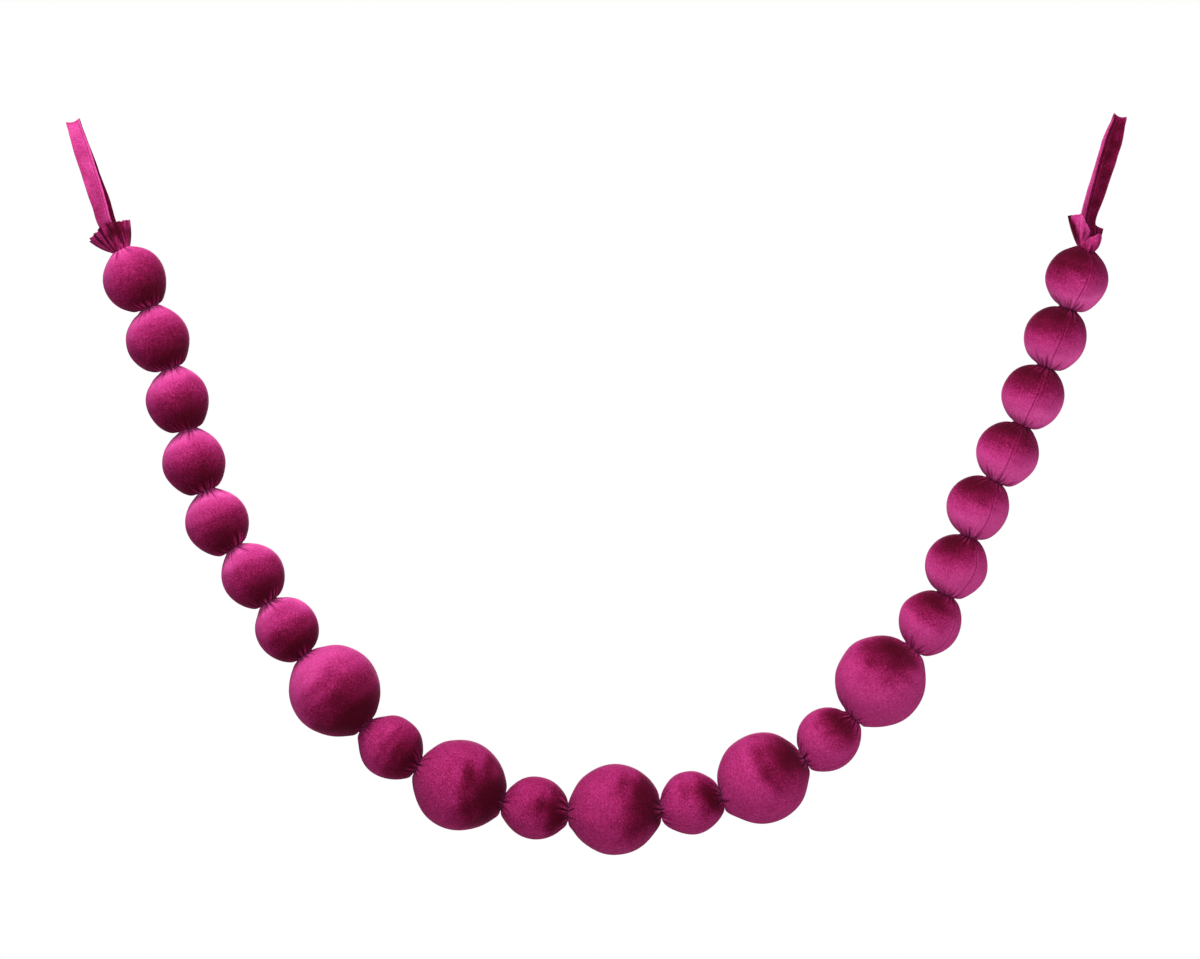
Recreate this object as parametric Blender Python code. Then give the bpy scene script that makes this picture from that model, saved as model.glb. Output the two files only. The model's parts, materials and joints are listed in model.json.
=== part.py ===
"""Velvet ball garland: a velvet tube filled with balls and pinched in between them.

Each end of the tube flares into a gathered frill, which holds a strap folded into a hanging loop. The garland
hangs in a deep curve in the XZ plane, with the viewer on the -Y side. The origin is inside the crown of the
left loop, where a hook bears.
"""

import math

import bmesh
import bpy
import numpy as np
from mathutils import Vector

# The tube, in metres.
RADII = {"small": 0.031, "large": 0.045}
PINCH_RADIUS = 0.008  # the cloth drawn in between two balls
END_SLACK = 0.0015  # cloth between the last ball and the pinch that closes it
JOINT_GAP = 0.0003  # between neighbouring solids
SIDES = {"small": 14, "large": 18}
ARC_STEPS = {"small": 7, "large": 9}

# From each crown to the pinch that holds its strap: sideways and down, in metres.
LEFT_HANG = (0.0473, 0.1261)
RIGHT_HANG = (0.0347, 0.1295)
FIRST_DIP = 64.5  # how steeply the line from the left pinch to the first ball dips, in degrees

# The balls from the left. Slack is the cloth between a ball and the next, and dip is how steeply the line to
# the next one falls: it is negative where the garland rises.
BALLS = (
    # size, slack_mm, dip_deg
    ("small", 3.0, 69),
    ("small", 1.5, 72),
    ("small", 2.0, 75),
    ("small", 2.0, 69),
    ("small", 2.5, 56),
    ("small", 1.5, 58),
    ("small", 2.0, 52),
    ("large", 4.0, 45),
    ("small", 2.5, 29),
    ("large", 2.5, 17),
    ("small", 4.0, 1),
    ("large", 0.5, -5),
    ("small", -1.0, -19),
    ("large", 0.5, -31),
    ("small", 2.0, -48),
    ("large", 1.0, -50),
    ("small", 0.0, -65),
    ("small", 0.5, -70),
    ("small", -0.5, -61),
    ("small", 0.5, -66),
    ("small", 0.5, -69),
    ("small", 0.5, -70),
    ("small", 1.5, -73),
)

# The frills: one row for each pleat. Round is its place about the frill's axis from the front towards the
# right. Opens is how far it turns from the axis at the pinch and lean how far its tip does, reach is its
# length and depth the height of its ridge.
LEFT_PLEATS = (
    # round_deg, opens_deg, lean_deg, reach_mm, depth_mm
    (0, 20, 8, 29, 1.5),
    (30, 24, 10, 27, 1.5),
    (60, 32, 16, 27, 1.6),
    (92, 42, 23, 27, 1.8),
    (130, 34, 20, 28, 2.0),
    (170, 26, 14, 29, 1.8),
    (210, 34, 20, 28, 2.0),
    (240, 50, 34, 27, 1.8),
    (266, 64, 44, 25, 1.6),
    (296, 50, 36, 27, 1.6),
    (328, 36, 25, 32, 1.6),
)
RIGHT_PLEATS = (
    # round_deg, opens_deg, lean_deg, reach_mm, depth_mm
    (48, 98, 32, 21, 2.2),
    (105, 44, 16, 26, 2.4),
    (160, 36, 20, 29, 2.4),
    (215, 40, 28, 31, 2.4),
    (275, 48, 35, 31, 2.4),
    (330, 34, 14, 31, 2.4),
)
FRILL_WALL = 0.0015
FRILL_FLOOR = 0.005  # the gathered base above the pinch
FRILL_RINGS = (0.0, 0.22, 0.46, 0.72, 1.0)  # shares of the reach
FRILL_EARLY = 0.45  # share of the reach over which a pleat follows its first direction
FRILL_STEP_UP = 0.001  # least rise between the rings inside, above the base
COLUMNS_PER_PLEAT = {"frill_left": 4, "frill_right": 6}

# The straps: one row for each station down the pair of legs. Across shifts the pair to the right, apart is
# from the middle to each leg, and turn twists the pair about its length, front leg to the right.
LEFT_STATIONS = (
    # down_mm, across_mm, apart_mm, turn_deg, width_mm
    (4.5, 0.0, 5.5, 0, 14.0),
    (24.0, 0.3, 5.8, 0, 16.2),
    (46.0, 1.2, 5.6, -5, 16.4),
    (67.0, 2.0, 5.0, -12, 16.6),
    (86.0, 2.8, 4.3, -23, 16.8),
    (106.0, 3.0, 3.6, -28, 16.2),
)
RIGHT_STATIONS = (
    # down_mm, across_mm, apart_mm, turn_deg, width_mm
    (4.5, -0.8, 5.5, 8, 13.0),
    (18.0, -1.0, 6.0, 9, 16.6),
    (40.0, -1.1, 6.0, 10, 17.2),
    (62.0, -1.4, 5.3, 14, 16.2),
    (82.0, -1.8, 4.4, 24, 15.4),
    (105.0, -1.7, 3.4, 35, 13.6),
)
STRAP_THICKNESS = 0.002
STRAP_END_APART = 1.6  # in millimetres, as the tables are
STRAP_END_WIDTH = 11.0
STRAP_END_LENGTH = 0.006  # along the frill's axis
STRAP_CLEARANCE = 0.0006  # over the frill's base
CROWN_RADIUS = 0.0055  # to the middle of the strap's thickness
CROWN_CURL = 0.002  # how far the strap's edges curl up over the crown
CROWN_STEPS = 6
SPAN_STEPS = 2  # between two rows of a station table
LEFT_LOOP_LEAN = -17.0  # from upright, towards the right
RIGHT_LOOP_LEAN = 16.7

SHARP_ANGLE = 50.0  # between two faces, past which their edge isn't shaded smooth, in degrees
WELD = 0.00001
VELVET = {"color": (0.38, 0.021, 0.141, 1.0), "roughness": 0.85, "metallic": 0.0}


def clear_scene():
    """Leaves no object in the scene."""
    for obj in list(bpy.data.objects):
        bpy.data.objects.remove(obj, do_unlink=True)


def make_material(name, color, roughness, metallic):
    """A Principled material in one colour."""
    material = bpy.data.materials.new(name)
    material.use_nodes = True
    shader = material.node_tree.nodes["Principled BSDF"]
    shader.inputs["Base Color"].default_value = color
    shader.inputs["Roughness"].default_value = roughness
    shader.inputs["Metallic"].default_value = metallic
    material.diffuse_color = color
    return material


def add_object(name, mesh, location, lean, parent):
    """Places a mesh, turned about Y by lean degrees, with its top towards +X for a positive lean."""
    mesh.materials.append(make_material(name + "_velvet", **VELVET))
    mesh.shade_smooth()
    mesh.set_sharp_from_angle(angle=math.radians(SHARP_ANGLE))
    obj = bpy.data.objects.new(name, mesh)
    bpy.context.scene.collection.objects.link(obj)
    obj.parent = parent
    obj.location = location
    obj.rotation_euler = (0.0, math.radians(lean), 0.0)
    return obj


def along(dip):
    """The unit vector to the right that dips by this many degrees."""
    return Vector((math.cos(math.radians(dip)), 0.0, -math.sin(math.radians(dip))))


def smooth_share(share):
    """Eases a share from 0 to 1 with no slope at either end."""
    share = min(max(share, 0.0), 1.0)
    return share * share * (3.0 - 2.0 * share)


# The balls.


def tangent_angle(radius, reach):
    """Where the drawn-in cloth leaves the ball, as an angle from the line to a pinch at this reach."""
    pinch_distance = math.hypot(reach, PINCH_RADIUS)
    return math.atan2(PINCH_RADIUS, reach) + math.acos(radius / pinch_distance)


def ball_profile(radius, back_reach, ahead_reach, steps):
    """Half the outline of a ball along +X: a pinch, a straight cone, the ball, a cone and the next pinch."""
    first = tangent_angle(radius, back_reach)
    last = math.pi - tangent_angle(radius, ahead_reach)
    profile = [Vector((-back_reach, 0.0, PINCH_RADIUS))]
    for step in range(steps + 1):
        angle = first + (last - first) * step / steps
        profile.append(Vector((-radius * math.cos(angle), 0.0, radius * math.sin(angle))))
    profile.append(Vector((ahead_reach, 0.0, PINCH_RADIUS)))
    return profile


def bend_ball(mesh_data, first, last, bend):
    """Turns each ring about Y, so that the two pinches face their neighbours and the ball stays round."""
    for vert in mesh_data.verts:
        polar = math.atan2(math.hypot(vert.co.y, vert.co.z), -vert.co.x)
        share = smooth_share((polar - first) / (last - first))
        angle = bend * (share - 0.5)
        x = vert.co.x * math.cos(angle) + vert.co.z * math.sin(angle)
        z = vert.co.z * math.cos(angle) - vert.co.x * math.sin(angle)
        vert.co.x = x
        vert.co.z = z


def make_ball(name, size, centre, dips, slacks, parent):
    """One stretch of the tube between two pinches, filled by its ball."""
    radius = RADII[size]
    back_reach = radius + (slacks[0] - JOINT_GAP) / 2
    ahead_reach = radius + (slacks[1] - JOINT_GAP) / 2
    shape = bmesh.new()
    profile = ball_profile(radius, back_reach, ahead_reach, ARC_STEPS[size])
    verts = [shape.verts.new(point) for point in profile]
    edges = [shape.edges.new(pair) for pair in zip(verts, verts[1:])]
    bmesh.ops.spin(
        shape,
        geom=verts + edges,
        cent=(0.0, 0.0, 0.0),
        axis=(1.0, 0.0, 0.0),
        angle=math.tau,
        steps=SIDES[size],
    )
    bmesh.ops.remove_doubles(shape, verts=shape.verts, dist=WELD)
    bmesh.ops.holes_fill(shape, edges=shape.edges, sides=0)
    first = tangent_angle(radius, back_reach)
    last = math.pi - tangent_angle(radius, ahead_reach)
    bend_ball(shape, first, last, math.radians(dips[1] - dips[0]))
    bmesh.ops.recalc_face_normals(shape, faces=shape.faces)
    mesh = bpy.data.meshes.new(name)
    shape.to_mesh(mesh)
    shape.free()
    return add_object(name, mesh, centre, (dips[0] + dips[1]) / 2, parent)


def make_tube(parent):
    """All the balls along the hanging curve. Returns the pinch beyond the last one."""
    pinch = Vector((LEFT_HANG[0], 0.0, -LEFT_HANG[1]))
    dip_before = FIRST_DIP
    slack_before = END_SLACK
    for number, (size, slack_mm, dip) in enumerate(BALLS, start=1):
        slack = slack_mm / 1000
        centre = pinch + along(dip_before) * (RADII[size] + slack_before / 2)
        dips = (dip_before, dip)
        make_ball(f"ball_{number:02d}", size, centre, dips, (slack_before, slack), parent)
        pinch = centre + along(dip) * (RADII[size] + slack / 2)
        dip_before = dip
        slack_before = slack
    return pinch


# The frills.


def around_pleats(pleats, columns):
    """The table's columns round the rim, and a ripple that is 1 on each ridge and -1 in each groove."""
    table = np.array(pleats, float)
    step = np.arange(columns) / columns
    rows = []
    for index in range(len(table)):
        here = table[index]
        after = table[(index + 1) % len(table)]
        turn = (after[0] - here[0]) % 360.0
        ease = (step * step * (3.0 - 2.0 * step))[:, None]
        shape = here[1:] + (after[1:] - here[1:]) * ease
        place = here[0] + turn * step
        rows.append(np.column_stack([place, shape, np.cos(2.0 * np.pi * step)]))
    return np.vstack(rows).T


def frill_surface(pleats, columns, offset):
    """The frill's cloth as rings from the pinch to the rim, pushed out by offset.

    In each half plane through the axis the cloth follows a curve with one control point, from its first
    direction to its tip. Each pleat swells across the cloth in step with the reach.
    """
    place, opens, lean, reach, depth, ripple = around_pleats(pleats, columns)
    place, opens, lean = np.radians((place, opens, lean))
    reach, depth = reach / 1000, depth / 1000
    share = np.array(FRILL_RINGS)[:, None]
    early_out, early_up = FRILL_EARLY * reach * np.sin(opens), FRILL_EARLY * reach * np.cos(opens)
    tip_out, tip_up = reach * np.sin(lean), reach * np.cos(lean)
    out = PINCH_RADIUS - FRILL_WALL / 2 + 2 * (1 - share) * share * early_out + share**2 * tip_out
    up = 2 * (1 - share) * share * early_up + share**2 * tip_up
    slope_out = 2 * (1 - 2 * share) * early_out + 2 * share * tip_out
    slope_up = 2 * (1 - 2 * share) * early_up + 2 * share * tip_up
    length = np.hypot(slope_out, slope_up)
    swell = share * depth * ripple + offset
    out = out + swell * slope_up / length
    up = up - swell * slope_out / length
    return np.stack([out * np.sin(place), -out * np.cos(place), up], axis=-1)


def ring_faces(lower, upper, count):
    """Quads between two rings of vertices, given by their first indices."""
    return [
        (lower + step, lower + (step + 1) % count, upper + (step + 1) % count, upper + step)
        for step in range(count)
    ]


def cup_rings(pleats, columns):
    """The rings of a frill's solid: up its outside from the pinch, over the rim and down to its base."""
    outside = frill_surface(pleats, columns, FRILL_WALL / 2)
    foot = outside[0]
    foot[:, :2] *= PINCH_RADIUS / np.hypot(foot[:, 0], foot[:, 1])[:, None]
    foot[:, 2] = 0.0
    inside = frill_surface(pleats, columns, -FRILL_WALL / 2)[1:]
    least = FRILL_FLOOR + FRILL_STEP_UP * np.arange(1, len(inside) + 1)[:, None]
    inside[:, :, 2] = np.maximum(inside[:, :, 2], least)
    base = inside[0].copy()
    base[:, 2] = FRILL_FLOOR
    return np.concatenate([outside, inside[::-1], base[None]])


def make_frill(name, pleats, pinch, lean, parent):
    """The raw end of the tube: a pleated cup on a solid gathered base."""
    rings = cup_rings(pleats, COLUMNS_PER_PLEAT[name])
    rings[:, :, 2] += JOINT_GAP / 2
    count = rings.shape[1]
    faces = [tuple(range(count)), tuple(range(rings.shape[0] * count - count, rings.shape[0] * count))]
    for ring in range(len(rings) - 1):
        faces += ring_faces(ring * count, (ring + 1) * count, count)
    mesh = bpy.data.meshes.new(name)
    mesh.from_pydata(rings.reshape(-1, 3).tolist(), [], faces)
    shape = bmesh.new()
    shape.from_mesh(mesh)
    bmesh.ops.recalc_face_normals(shape, faces=shape.faces)
    shape.to_mesh(mesh)
    shape.free()
    return add_object(name, mesh, pinch, lean, parent)


# The straps.


def eased_stations(stations):
    """A smooth curve through the rows of a station table, with SPAN_STEPS steps from each row to the next."""
    table = np.array(stations, float)
    slope = np.gradient(table, table[:, 0], axis=0)
    span = np.diff(table[:, 0])[:, None, None]
    t = (np.arange(SPAN_STEPS) / SPAN_STEPS)[None, :, None]
    start = (2 * t**3 - 3 * t**2 + 1) * table[:-1, None] + (t**3 - 2 * t**2 + t) * span * slope[:-1, None]
    end = (3 * t**2 - 2 * t**3) * table[1:, None] + (t**3 - t**2) * span * slope[1:, None]
    return np.vstack([(start + end).reshape(-1, table.shape[1]), table[-1:]])


def leg_sections(table, side):
    """The sections down one leg: side is -1 for the front leg and 1 for the back one.

    Each is its middle, the direction across the strap, the direction out of the loop, the width and the curl.
    It is square to the line of the legs.
    """
    veer = np.arctan(np.gradient(table[:, 1], table[:, 0]))
    sections = []
    for (down, across, apart, turn, width), slant in zip(table, veer):
        angle = math.radians(turn)
        facing = math.cos(angle)
        width_way = Vector((facing * math.cos(slant), math.sin(angle), facing * math.sin(slant)))
        out_way = Vector((-math.sin(angle), facing, 0.0)) * side
        middle = Vector((across, 0.0, -down)) / 1000 + out_way * apart / 1000
        sections.append((middle, width_way, out_way, width / 1000, 0.0))
    return sections


def crown_sections(first_row):
    """The half turn over the hook, from the front leg to the back one, whose edges curl up."""
    down, across, _, turn, width = first_row
    angle = math.radians(turn)
    width_way = Vector((math.cos(angle), math.sin(angle), 0.0))
    back_way = Vector((-math.sin(angle), math.cos(angle), 0.0))
    sections = []
    for step in range(1, CROWN_STEPS):
        swing = math.pi * step / CROWN_STEPS
        out_way = back_way * -math.cos(swing) + Vector((0.0, 0.0, math.sin(swing)))
        middle = Vector((across, 0.0, -down)) / 1000 + out_way * CROWN_RADIUS
        curl = CROWN_CURL * math.sin(swing) ** 2
        sections.append((middle, width_way, out_way, width / 1000, curl))
    return sections


def strap_outline(middle, width_way, out_way, width, curl):
    """Eight points round the strap's section: flat, with bevelled edges that curl outwards."""
    half = width / 2
    flat = half - STRAP_THICKNESS / 2
    depth = STRAP_THICKNESS / 2
    corners = (
        (-half, 0.0),
        (-flat, depth),
        (0.0, depth),
        (flat, depth),
        (half, 0.0),
        (flat, -depth),
        (0.0, -depth),
        (-flat, -depth),
    )
    return [
        middle + width_way * across + out_way * (out + curl * (across / half) ** 2)
        for across, out in corners
    ]


def end_stations(pinch_place, frill_way, crown, lean, turn):
    """Two rows that lead a pair of legs down the frill's axis to just above its base."""
    sideways = Vector((math.cos(math.radians(lean)), 0.0, -math.sin(math.radians(lean))))
    upright = Vector((math.sin(math.radians(lean)), 0.0, math.cos(math.radians(lean))))
    rows = []
    for height in (STRAP_END_LENGTH, 0.0):
        place = pinch_place + frill_way * (FRILL_FLOOR + STRAP_CLEARANCE + height) - crown
        down, across = -place.dot(upright) * 1000, place.dot(sideways) * 1000
        rows.append((down, across, STRAP_END_APART, turn, STRAP_END_WIDTH))
    return tuple(rows)


def make_loop(name, stations, crown, lean, pinch, frill_way, parent):
    """One strap folded over its crown, with both ends caught in the frill's base."""
    ends = end_stations(pinch, frill_way, crown, lean, stations[-1][3] / 2)
    table = eased_stations(stations + ends)
    front = leg_sections(table, -1)[::-1]
    back = leg_sections(table, 1)
    sections = front + crown_sections(stations[0]) + back
    shape = bmesh.new()
    rings = [[shape.verts.new(point) for point in strap_outline(*section)] for section in sections]
    for ring, after in zip(rings, rings[1:]):
        for step in range(len(ring)):
            following = (step + 1) % len(ring)
            shape.faces.new((ring[step], ring[following], after[following], after[step]))
    shape.faces.new(rings[0])
    shape.faces.new(rings[-1])
    bmesh.ops.recalc_face_normals(shape, faces=shape.faces)
    mesh = bpy.data.meshes.new(name)
    shape.to_mesh(mesh)
    shape.free()
    return add_object(name, mesh, crown, lean, parent)


def main():
    clear_scene()
    garland = bpy.data.objects.new("garland", None)
    bpy.context.scene.collection.objects.link(garland)
    left_pinch = Vector((LEFT_HANG[0], 0.0, -LEFT_HANG[1]))
    right_pinch = make_tube(garland)
    right_crown = right_pinch + Vector((RIGHT_HANG[0], 0.0, RIGHT_HANG[1]))
    left_lean = FIRST_DIP - 90.0
    right_lean = 90.0 + BALLS[-1][2]
    make_frill("frill_left", LEFT_PLEATS, left_pinch, left_lean, garland)
    make_frill("frill_right", RIGHT_PLEATS, right_pinch, right_lean, garland)
    left_crown = Vector((0.0, 0.0, 0.0))
    left_way = -along(FIRST_DIP)
    right_way = along(BALLS[-1][2])
    make_loop("loop_left", LEFT_STATIONS, left_crown, LEFT_LOOP_LEAN, left_pinch, left_way, garland)
    make_loop("loop_right", RIGHT_STATIONS, right_crown, RIGHT_LOOP_LEAN, right_pinch, right_way, garland)


main()
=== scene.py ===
import json
import math
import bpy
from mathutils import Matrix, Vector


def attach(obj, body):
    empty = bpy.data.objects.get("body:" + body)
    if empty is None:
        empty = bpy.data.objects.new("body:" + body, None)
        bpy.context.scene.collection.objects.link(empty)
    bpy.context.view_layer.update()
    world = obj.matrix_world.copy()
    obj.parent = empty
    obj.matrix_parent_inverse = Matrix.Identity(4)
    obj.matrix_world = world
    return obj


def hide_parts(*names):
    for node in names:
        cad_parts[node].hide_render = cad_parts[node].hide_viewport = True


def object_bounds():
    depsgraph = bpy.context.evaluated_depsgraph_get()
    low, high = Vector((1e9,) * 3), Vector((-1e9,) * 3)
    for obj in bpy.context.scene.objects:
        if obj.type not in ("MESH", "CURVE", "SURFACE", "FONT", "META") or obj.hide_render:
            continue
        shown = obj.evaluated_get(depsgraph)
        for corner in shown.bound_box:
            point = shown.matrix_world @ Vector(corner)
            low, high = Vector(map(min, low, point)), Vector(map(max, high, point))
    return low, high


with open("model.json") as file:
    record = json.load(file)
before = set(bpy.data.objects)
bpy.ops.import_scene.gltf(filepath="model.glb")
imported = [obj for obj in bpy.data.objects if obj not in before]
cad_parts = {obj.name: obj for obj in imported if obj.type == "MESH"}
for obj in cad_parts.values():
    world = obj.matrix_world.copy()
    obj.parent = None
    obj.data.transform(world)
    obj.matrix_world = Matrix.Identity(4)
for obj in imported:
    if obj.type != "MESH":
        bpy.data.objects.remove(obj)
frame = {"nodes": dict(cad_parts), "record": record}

from types import SimpleNamespace

import bpy
import numpy as np
from mathutils import Vector

cad_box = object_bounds()

# ------------------------------------------------------------------------------------------------------------
# The stuffed tube. One long strip of velvet, sewn down its length into a tube, holds 23 light balls. A
# thread draws the cloth in tight between every two of them, so that it puckers there, and the pile lies
# along the tube towards its left end. Its sheen and shade are painted into the colour: each ball is
# painted pale on that side and deep raspberry on the other.
# ------------------------------------------------------------------------------------------------------------

BALLS = [f"ball_{number:02d}" for number in range(1, 24)]

PINCH_RADIUS = 0.0088
PINCH_DIMPLE = 0.002  # how far the cloth sinks in where it closes at a pinch
SAG = 0.0010  # how far the cloth hangs off the balls on the outer side of the curve

# How uneven the cloth is over a ball: its waves' height and length, and how far from a pinch they are weak.
LUMP_HEIGHT, LUMP_LENGTH, LUMP_FADE = 0.00022, 0.03, 0.010
LUMP_SEED = 70

# Where the tube's seam runs on each ball: degrees round the tube from the front towards its outer, lower
# side.
SEAM_TURNS = (96, 97, 98, 98, 97, 95, 94, 88, 82, 86, 80, 80, 43, 74, 58, 72, 48, 36, 25, 6, 5, 10, 17)

# The seam is a groove with a lip on each side of it. Beyond the lips a tuck stands up beside a ball's first
# pinch.
GROOVE_DEPTH, GROOVE_WIDTH = 0.00045, 0.0006
LIP_HEIGHT, LIP_PLACE, LIP_WIDTH = 0.00022, 0.0016, 0.0010
TUCK_HEIGHT, TUCK_PLACE, TUCK_WIDTH, TUCK_REACH = 0.0006, 0.0032, 0.0011, 0.011

# The mesh: the steps between its columns and between its rows, finer beside the seam and in the gathers.
COLUMN_STEP, SEAM_COLUMN_STEP = 0.0012, 0.00028
ROW_STEP, GATHER_ROW_STEP = 0.0020, 0.0006
SEAM_STRIP = 0.0045  # half the width of the strip beside the seam
GATHER_ZONE = 0.016  # the length of the gathers, from the pinch

# How far each pinch sits off the line of the balls' centres, towards the outer side of the curve: the
# number of the pinch, then millimetres.
PINCH_SHIFTS = (
    (0, 0.0), (1, -3.6), (3, -2.2), (5, 0.8), (7, 2.8), (11, 3.6), (16, 4.4), (18, 2.6), (22, 2.8), (23, 0.0)
)
SHIFT_REACH = 0.014  # how far along the cloth from the pinch that is felt
SQUARE_REACH = 0.005  # how far along it creases and waves move it straight towards the tube's axis

# How far the slack cloth stands off the balls beside the pinches: the number of the ball, then millimetres
# on the outer and the inner side at its first pinch, and on the same sides at its second.
STAND_OFFS = (
    (0, 0.0, 0.4, 3.0, 2.2),
    (4, 0.0, 0.2, 3.0, 2.0),
    (6, 0.0, 0.4, 1.4, 2.2),
    (8, 1.4, 0.8, 2.4, 1.4),
    (10, 1.4, 1.4, 1.8, 2.4),
    (12, 1.6, 0.6, 0.8, 0.8),
    (13, 2.8, 0.2, 1.2, 0.2),
    (15, 1.8, 0.2, 0.9, 0.2),
    (17, 1.3, 0.2, 0.4, 0.0),
    (22, 1.7, 0.3, 0.3, 0.0),
)
STAND_OFF_REACH = 0.009  # from the pinch to where the cloth stands off most

ON_SPHERE = 0.02  # how far off a ball's sphere a point still counts as on it, as a share of the radius


def unit(vector):
    """The vector at length 1."""
    return vector / np.linalg.norm(vector)


def bell(away, width):
    """1 in the middle, falling off smoothly on both sides: e to the power of minus (away / width) squared."""
    return np.exp(-((away / width) ** 2))


def table_row(table, place):
    """The row at a place along a table, between its neighbours. The table's first column is the places."""
    places, *columns = np.array(table, float).T
    return np.array([np.interp(place, places, column) for column in columns])


def node_points(node):
    """The vertices of a CAD node, as rows."""
    mesh = frame["nodes"][node].data
    points = np.empty(len(mesh.vertices) * 3)
    mesh.vertices.foreach_get("co", points)
    return points.reshape(-1, 3)


def fitted_sphere(points):
    """The least-squares sphere: |p|^2 = 2 p.c + (r^2 - |c|^2) solved for c and r."""
    matrix = np.column_stack([2 * points, np.ones(len(points))])
    answer = np.linalg.lstsq(matrix, (points**2).sum(1), rcond=None)[0]
    centre = answer[:3]
    return centre, math.sqrt(answer[3] + centre @ centre)


def ball_sphere(node):
    """The sphere under a ball's cloth: fitted to all the points, then again without the two pinches."""
    points = node_points(node)
    centre, _ = fitted_sphere(points)
    away = np.linalg.norm(points - centre, axis=1)
    on_sphere = np.abs(away - np.median(away)) < ON_SPHERE * np.median(away)
    return fitted_sphere(points[on_sphere])


def pinch_of(node, centre, radius, way):
    """The middle of the pinch on one side of a ball: the points that stand off its sphere on that side."""
    points = node_points(node)
    away = points - centre
    standing = (np.linalg.norm(away, axis=1) > (1 + ON_SPHERE) * radius) & (away @ way > 0)
    return (points[standing].min(0) + points[standing].max(0)) / 2


spheres = [ball_sphere(node) for node in BALLS]
centres = np.array([centre for centre, _ in spheres])
centres[:, 1] = 0.0
radii = np.array([radius for _, radius in spheres])
ways = np.array([unit(after - before) for before, after in zip(centres, centres[1:])])
first_pinch = pinch_of(BALLS[0], centres[0], radii[0], -ways[0])
last_pinch = pinch_of(BALLS[-1], centres[-1], radii[-1], ways[-1])
slacks = np.linalg.norm(np.diff(centres, axis=0), axis=1) - radii[:-1] - radii[1:]
pinches = np.vstack([first_pinch, centres[:-1] + ways * (radii[:-1] + slacks / 2)[:, None], last_pinch])
pinches[:, 1] = 0.0

# The creases at every pinch, the deep ones and then the fine ones: how many there are, and the least and
# the most, in millimetres, of their depth, of their length on the ball before the pinch and on the ball
# after it, and of their width at the pinch.
GATHERS = (
    (18, (1.1, 2.6), (9, 21), (9, 20), (0.50, 0.80)),
    (34, (0.2, 0.8), (8, 22), (8, 20), (0.26, 0.42)),
)
GATHER_UNEVENNESS = 0.36  # how far a deep crease lies off its even place, as a share of the space between two
GATHER_SPREAD = 0.014  # the distance from the pinch over which a crease grows twice as wide
SWELLING_WIDTH = 2.6  # of the swelling that a crease has beside it, in widths of the crease
SWELLING_HEIGHT = 0.4  # as a share of the crease's depth
# A crease's painted shade against the painted highlight on its swelling, and the depth at which its painted
# shade is full.
CREASE_LOWERS = 1.3  # how far a crease lowers the look of the cloth, where its swelling raises it by 1
FULL_CREASE = 0.0021  # how deep a crease is that darkens the pile by the whole of its share
GATHER_SEED = 400


def gathers(number):
    """The creases round one pinch, seeded by its number: where each lies, how deep, how long and how wide.

    The deep ones are evenly spaced and then moved by up to GATHER_UNEVENNESS of that. The fine ones lie
    anywhere.
    """
    chance = np.random.default_rng(GATHER_SEED + number)
    deep, fine = (kind[0] for kind in GATHERS)
    turn = (np.arange(deep) + chance.uniform(-GATHER_UNEVENNESS, GATHER_UNEVENNESS, deep)) * math.tau / deep
    creases = {"turn": np.append(turn, chance.uniform(0, math.tau, fine))}
    for column, size in enumerate(("depth", "before", "after", "width"), start=1):
        creases[size] = np.concatenate([chance.uniform(*kind[column], kind[0]) for kind in GATHERS]) / 1000
    return creases


def gathered(creases, reach, turn, from_pinch, across):
    """How far the creases push the cloth in, how creased it is, and how it stands up beside them, from 0 up.

    Each crease is a soft V that fades and widens with the distance from the pinch, over its own length, with
    a low swelling beside it. across is the tube's radius at each point. The last two results set the painted
    shade in the creases and the painted highlight on the swellings; in them a crease counts by the square of
    its depth over FULL_CREASE, so that only the deep ones show their painted shade.
    """
    away = (turn[..., None] - creases["turn"] + math.pi) % math.tau - math.pi
    wide = creases["width"] * (1 + from_pinch[..., None] / GATHER_SPREAD)
    away = np.abs(away) * across[..., None] / wide
    fade = np.clip(1 - from_pinch[..., None] / creases[reach], 0, 1) ** 0.8
    crease = np.exp(-(away**1.5)) * fade
    swelling = bell(away, SWELLING_WIDTH) * fade
    depth = (creases["depth"] * (crease - SWELLING_HEIGHT * swelling)).sum(-1)
    weight = (creases["depth"] / FULL_CREASE) ** 2
    return depth, (crease * weight).sum(-1), ((swelling - CREASE_LOWERS * crease) * weight).sum(-1)


def seam_columns(radius):
    """The columns as turns from the seam: close together beside it, and even round the rest."""
    half = SEAM_STRIP / radius
    near = np.linspace(0, half, round(SEAM_STRIP / SEAM_COLUMN_STEP) + 1)
    steps = round((math.tau - 2 * half) * radius / COLUMN_STEP)
    wide = np.linspace(half, math.tau - half, steps + 1)
    return np.concatenate([near, wide[1:-1], math.tau - near[::-1]])[:-1]


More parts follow.
